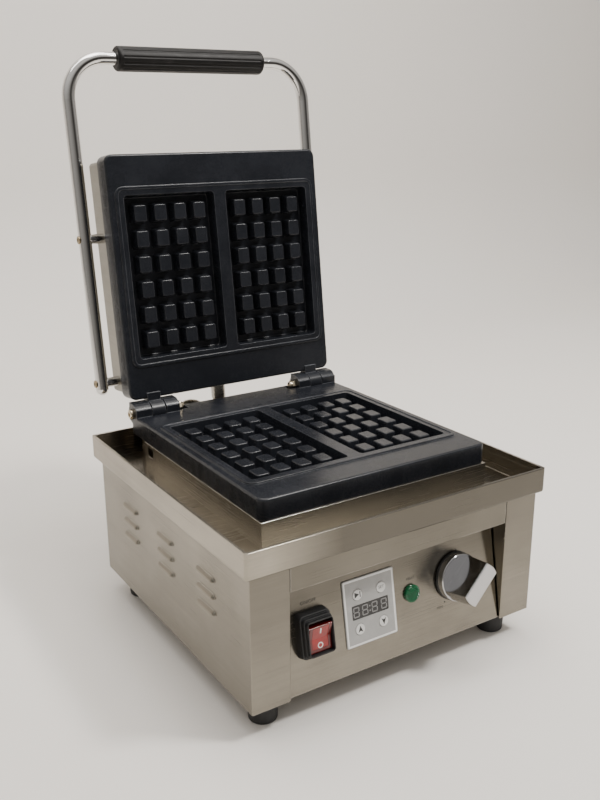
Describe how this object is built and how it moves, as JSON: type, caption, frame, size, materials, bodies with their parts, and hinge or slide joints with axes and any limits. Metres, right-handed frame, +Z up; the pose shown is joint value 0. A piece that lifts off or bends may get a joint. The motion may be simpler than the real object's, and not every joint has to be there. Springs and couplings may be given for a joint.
{
  "type": "waffle maker",
  "caption": "Electric double waffle maker: hinged cast plates with two moulds, drip tray, tube handle and a sloping control panel.",
  "frame": {"origin": "on the surface it stands on, under the middle of the overall width and depth with the lid open", "axes": "+X to the machine's right seen from the front, +Y to the rear where the lid hinges, +Z up"},
  "size_m": [0.32, 0.4169, 0.5516],
  "materials": {
    "stainless": "brushed stainless sheet",
    "stainless_cover": "fine brushed stainless sheet",
    "cast_nonstick": "cast aluminium with a black non-stick coating",
    "screw_steel": "plated steel",
    "nut_brass": "polished brass",
    "element_steel": "heat-tinted steel sheath",
    "clamp_steel": "zinc-plated steel",
    "mineral_wool": "mineral wool",
    "chrome": "polished chrome",
    "grip_black": "fluted black plastic",
    "knob_chrome": "chromed plastic and steel",
    "rubber": "matt black rubber",
    "rocker_red": "translucent red plastic",
    "lens_green": "translucent green plastic",
    "bezel_grey": "light grey plastic",
    "window_black": "tinted window",
    "key_white": "white plastic",
    "plastic_black": "black plastic",
    "board_green": "coated circuit board",
    "conduit_steel": "wound flexible steel"
  },
  "bodies": {
    "base": {"side_panel_left": "stainless", "side_panel_right": "stainless", "front_panel": "stainless", "rear_panel": "stainless", "bottom_cover": "stainless", "deck": "stainless", "drip_tray": "stainless", "heater_housing": "stainless", "housing_screws": "screw_steel", "plate_screws": "screw_steel", "feet": "rubber", "foot_screws": "screw_steel", "panel_screws": "screw_steel", "lower_plate": "cast_nonstick", "lower_pips": "cast_nonstick", "lower_heater": "element_steel", "lower_heater_clamp": "clamp_steel", "lower_clamp_screws": "screw_steel", "lower_insulation": "mineral_wool", "hinge_bolts": "screw_steel", "hinge_nuts": "nut_brass", "switch_body": "plastic_black", "switch_boot": "rubber", "timer_bezel": "bezel_grey", "timer_window": "window_black", "timer_case": "plastic_black", "timer_board": "board_green", "display_module": "plastic_black", "lamp_lens": "lens_green", "lamp_body": "plastic_black", "thermostat": "plastic_black", "thermostat_bulb": "element_steel", "cutout_thermostat": "element_steel", "terminal_block": "plastic_black", "relay": "plastic_black", "cable_gland": "plastic_black", "conduit_elbow": "conduit_steel", "conduit": "conduit_steel"},
    "lid": {"upper_plate": "cast_nonstick", "upper_pips": "cast_nonstick", "upper_heater": "element_steel", "upper_heater_clamp": "clamp_steel", "upper_clamp_screws": "screw_steel", "upper_insulation": "mineral_wool", "lid_cover": "stainless_cover", "cover_studs": "clamp_steel", "cover_screws": "screw_steel", "handle_tube": "chrome", "handle_standoffs": "chrome", "handle_screws": "screw_steel", "handle_grip": "grip_black", "conduit_fitting": "conduit_steel"},
    "rocker": {"rocker": "rocker_red"},
    "knob": {"knob_core": "plastic_black", "knob_shell": "knob_chrome", "knob_shaft": "knob_chrome"},
    "key_start": {"key_start": "key_white"},
    "key_mode": {"key_mode": "key_white"},
    "key_up": {"key_up": "key_white"},
    "key_down": {"key_down": "key_white"}
  },
  "joints": [
    {"name": "lid_hinge", "type": "hinge", "parent": "base", "child": "lid", "pos_m": [0, 0.1105, 0.1931], "axis": [1, 0, 0], "range_deg": [0, 97.2], "deforming": ["conduit"]},
    {"name": "rocker_tilt", "type": "hinge", "parent": "base", "child": "rocker", "pos_m": [-0.0903, -0.17668, 0.07573], "axis": [1, 0, 0], "range_deg": [-20, 0]},
    {"name": "knob_turn", "type": "hinge", "parent": "base", "child": "knob", "pos_m": [0.0671, -0.17176, 0.08065], "axis": [0, -0.985, 0.1724], "range_deg": [-253, 17]},
    {"name": "key_start_press", "type": "slide", "parent": "base", "child": "key_start", "axis": [0, 0.985, -0.1724], "range_m": [0, 0.0004], "stiffness_N_per_m": 400},
    {"name": "key_mode_press", "type": "slide", "parent": "base", "child": "key_mode", "axis": [0, 0.985, -0.1724], "range_m": [0, 0.0004], "stiffness_N_per_m": 400},
    {"name": "key_up_press", "type": "slide", "parent": "base", "child": "key_up", "axis": [0, 0.985, -0.1724], "range_m": [0, 0.0004], "stiffness_N_per_m": 400},
    {"name": "key_down_press", "type": "slide", "parent": "base", "child": "key_down", "axis": [0, 0.985, -0.1724], "range_m": [0, 0.0004], "stiffness_N_per_m": 400}
  ]
}
